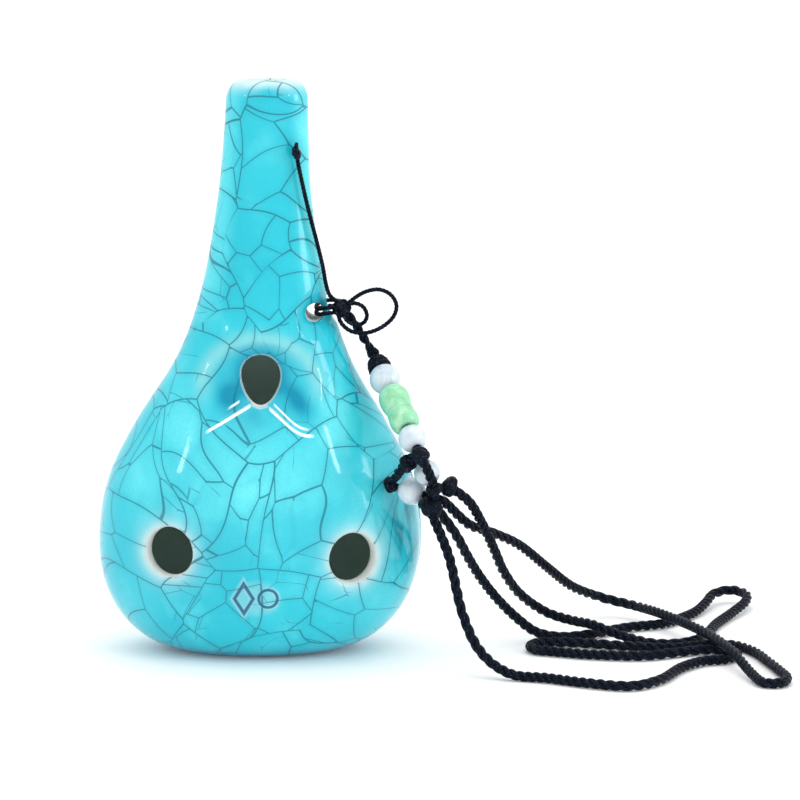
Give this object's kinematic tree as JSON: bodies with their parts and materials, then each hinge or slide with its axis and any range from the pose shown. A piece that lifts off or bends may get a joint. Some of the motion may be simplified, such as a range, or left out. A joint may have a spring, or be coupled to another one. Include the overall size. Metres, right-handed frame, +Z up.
{
  "type": "ocarina",
  "caption": "Upright bottle-shaped ceramic ocarina in crackled turquoise glaze, with thumb holes and a voicing window in front, and a black neck cord with jade-like beads.",
  "frame": {"origin": "middle of the foot the ocarina stands on", "axes": "+Z up along the body to the mouthpiece, -Y the side with the voicing window and thumb holes, +X towards the strap hole and the neck cord"},
  "size_m": [0.1634, 0.1001, 0.137],
  "materials": {
    "glaze": "gloss crackle glaze",
    "cord_black": "satin waxed cord",
    "white_stone": "polished, milky",
    "green_stone": "polished, milky"
  },
  "bodies": {
    "ocarina": {"ocarina_body": "glaze", "strap_loop_cord": "cord_black", "tie_knot": "cord_black", "tail_cord": "cord_black", "tail_end_knot": "cord_black", "bow_cord": "cord_black", "bead_strand": "cord_black", "stop_knot": "cord_black", "cap_knot": "cord_black", "bead_core_cord": "cord_black", "gathering_knot": "cord_black", "link_cord": "cord_black", "branch_cord": "cord_black", "branch_end_knot": "cord_black", "front_core_cord": "cord_black", "rear_cord": "cord_black", "rear_core_cord": "cord_black", "link_knot": "cord_black", "neck_knot": "cord_black", "side_knot": "cord_black", "neck_rope_front": "cord_black", "neck_rope_back": "cord_black"},
    "upper_white_bead_body": {"upper_white_bead": "white_stone"},
    "gourd_bead_body": {"gourd_bead": "green_stone"},
    "lower_white_bead_body": {"lower_white_bead": "white_stone"},
    "front_white_bead_body": {"front_white_bead": "white_stone"},
    "rear_white_bead_body": {"rear_white_bead": "white_stone"}
  },
  "joints": [
    {"name": "upper_white_bead_spin", "type": "hinge", "parent": "ocarina", "child": "upper_white_bead_body", "pos_m": [0.02993, -0.00736, 0.06639], "axis": [0.3215, -0.754, -0.5728], "continuous": true},
    {"name": "gourd_bead_spin", "type": "hinge", "parent": "ocarina", "child": "gourd_bead_body", "pos_m": [0.03321, -0.01507, 0.06053], "axis": [0.3215, -0.754, -0.5728], "continuous": true},
    {"name": "lower_white_bead_spin", "type": "hinge", "parent": "ocarina", "child": "lower_white_bead_body", "pos_m": [0.03639, -0.02252, 0.05487], "axis": [0.3215, -0.754, -0.5728], "continuous": true},
    {"name": "front_white_bead_spin", "type": "hinge", "parent": "ocarina", "child": "front_white_bead_body", "pos_m": [0.03622, -0.01726, 0.0414], "axis": [0.8971, -0.4037, -0.1794], "continuous": true},
    {"name": "rear_white_bead_spin", "type": "hinge", "parent": "ocarina", "child": "rear_white_bead_body", "pos_m": [0.0398, -0.0206, 0.0464], "axis": [0.1518, 0.1822, -0.9715], "continuous": true}
  ]
}
